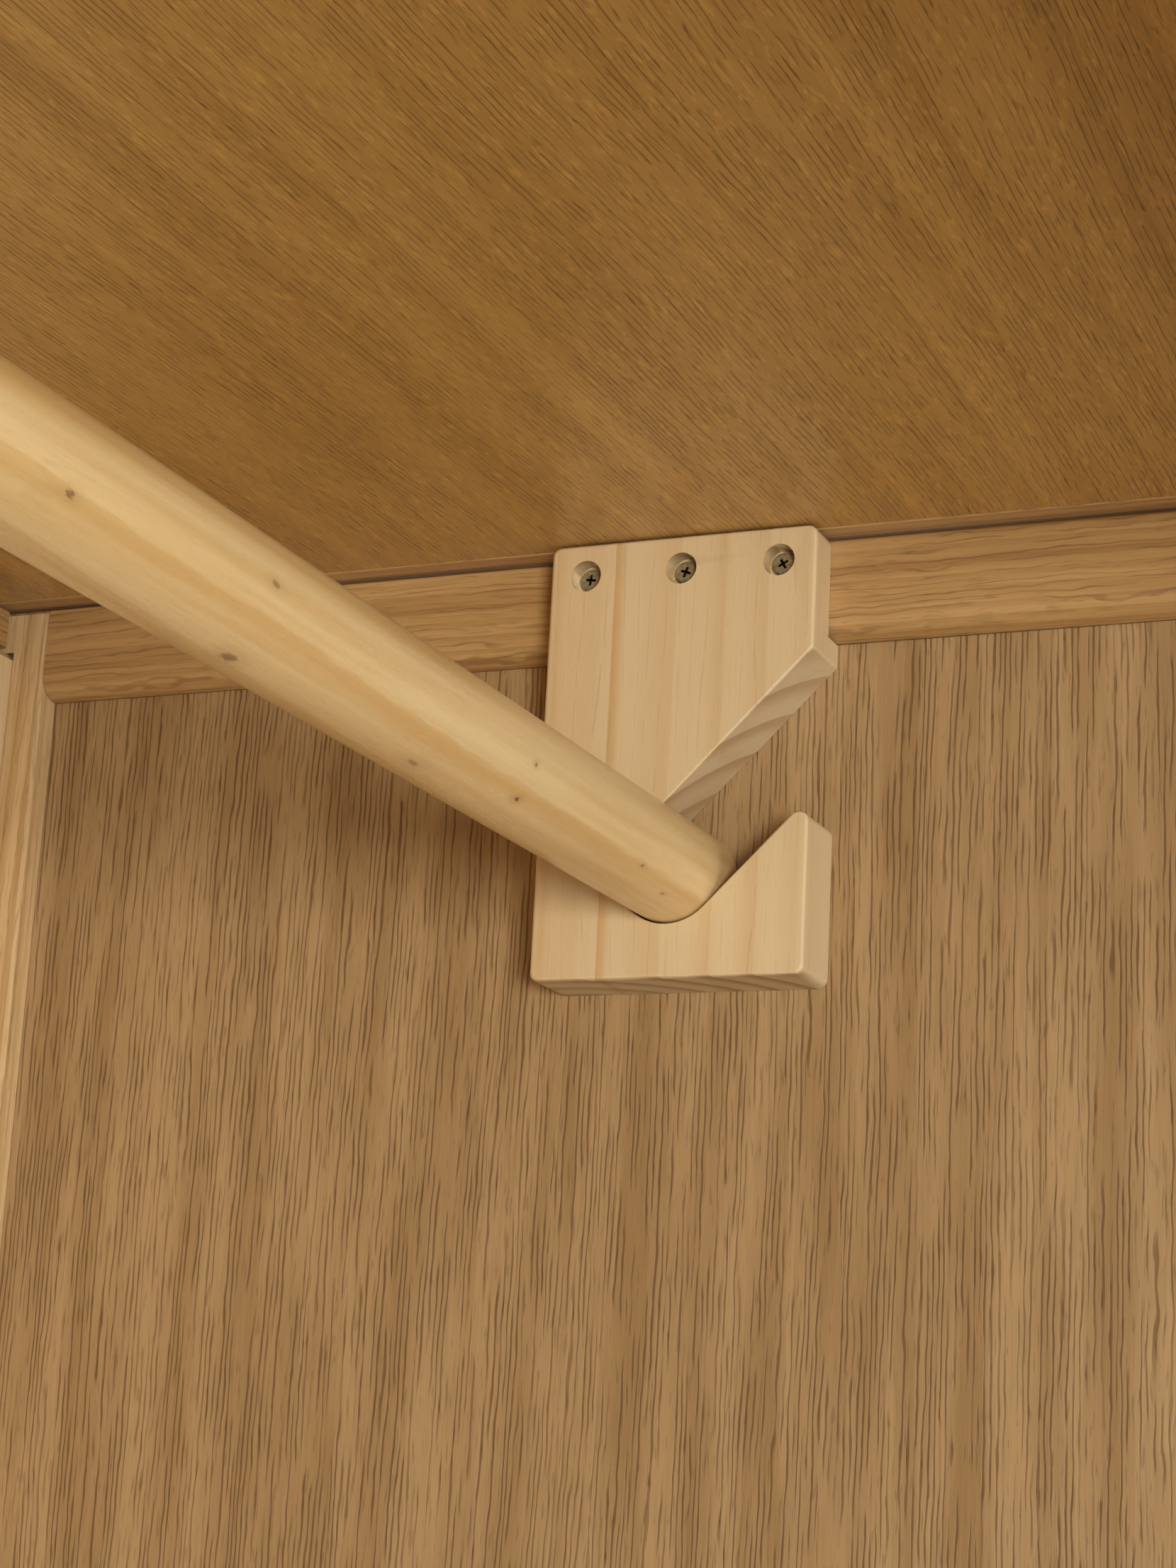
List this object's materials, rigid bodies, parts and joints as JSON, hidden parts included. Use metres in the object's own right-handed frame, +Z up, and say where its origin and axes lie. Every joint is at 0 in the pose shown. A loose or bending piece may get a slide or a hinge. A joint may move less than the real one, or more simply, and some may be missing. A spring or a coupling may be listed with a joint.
{
  "type": "wardrobe with doors",
  "caption": "Freestanding framed and panelled wooden wardrobe with hinged front doors and a round hanging rail that lifts out of slotted brackets.",
  "frame": {"origin": "on the floor, at the centre of the box that the wardrobe fills with its doors standing open as stored", "axes": "+X to the right of a person facing the doors, +Y to the back, +Z up"},
  "size_m": [1.1902, 1.0115, 1.9],
  "materials": {
    "oak": "satin oiled solid oak",
    "oak_veneer": "satin oak veneer, upright grain",
    "top_veneer": "satin oak veneer, warmer tone",
    "pine": "pale planed pine, thinly varnished",
    "pine_panel": "pale satin pine panel",
    "turned_pine": "varnished round pine, satin",
    "screw_steel": "darkened steel",
    "hinge_brass": "antique brass, satin",
    "catch_plastic": "moulded brown plastic"
  },
  "bodies": {
    "carcass": {"post_front_left": "oak", "post_back_left": "oak", "side_top_rail_left": "oak", "side_bottom_rail_left": "oak", "side_panel_left": "oak_veneer", "top_edging_left": "oak", "rail_bracket_left": "pine", "bracket_screw_left_1": "screw_steel", "hinge_post_leaf_left_1": "hinge_brass", "hinge_pin_left_1": "hinge_brass", "bracket_screw_left_2": "screw_steel", "hinge_post_leaf_left_2": "hinge_brass", "hinge_pin_left_2": "hinge_brass", "bracket_screw_left_3": "screw_steel", "hinge_post_leaf_left_3": "hinge_brass", "hinge_pin_left_3": "hinge_brass", "post_front_right": "oak", "post_back_right": "oak", "side_top_rail_right": "oak", "side_bottom_rail_right": "oak", "side_panel_right": "oak_veneer", "top_edging_right": "oak", "rail_bracket_right": "pine", "bracket_screw_right_1": "screw_steel", "hinge_post_leaf_right_1": "hinge_brass", "hinge_pin_right_1": "hinge_brass", "bracket_screw_right_2": "screw_steel", "hinge_post_leaf_right_2": "hinge_brass", "hinge_pin_right_2": "hinge_brass", "bracket_screw_right_3": "screw_steel", "hinge_post_leaf_right_3": "hinge_brass", "hinge_pin_right_3": "hinge_brass", "front_top_rail": "oak", "front_bottom_rail": "oak", "back_top_rail": "oak", "back_bottom_rail": "oak", "back_panel": "pine_panel", "bottom_board": "oak_veneer", "top_board": "top_veneer", "door_catch": "catch_plastic"},
    "door_left": {"door_left_meeting_stile": "oak", "door_left_hinge_stile": "oak", "door_left_top_rail": "oak", "door_left_bottom_rail": "oak", "door_left_panel": "oak_veneer", "door_left_knob": "oak", "hinge_door_leaf_left_1": "hinge_brass", "hinge_door_leaf_left_2": "hinge_brass", "hinge_door_leaf_left_3": "hinge_brass"},
    "door_right": {"door_right_meeting_stile": "oak", "door_right_hinge_stile": "oak", "door_right_top_rail": "oak", "door_right_bottom_rail": "oak", "door_right_panel": "oak_veneer", "door_right_knob": "oak", "hinge_door_leaf_right_1": "hinge_brass", "hinge_door_leaf_right_2": "hinge_brass", "hinge_door_leaf_right_3": "hinge_brass"},
    "hanging_rail": {"hanging_rail": "turned_pine"}
  },
  "joints": [
    {"name": "door_left_hinge", "type": "hinge", "parent": "carcass", "child": "door_left", "pos_m": [-0.459, -0.05786, 0.989], "axis": [0, 0, -1], "range_deg": [-105, 65]},
    {"name": "door_right_hinge", "type": "hinge", "parent": "carcass", "child": "door_right", "pos_m": [0.459, -0.05786, 0.989], "axis": [0, 0, 1], "range_deg": [-105, 65]},
    {"name": "hanging_rail_lift", "type": "slide", "parent": "carcass", "child": "hanging_rail", "axis": [0, -0.7071, 0.7071], "range_m": [0, 0.08]}
  ]
}
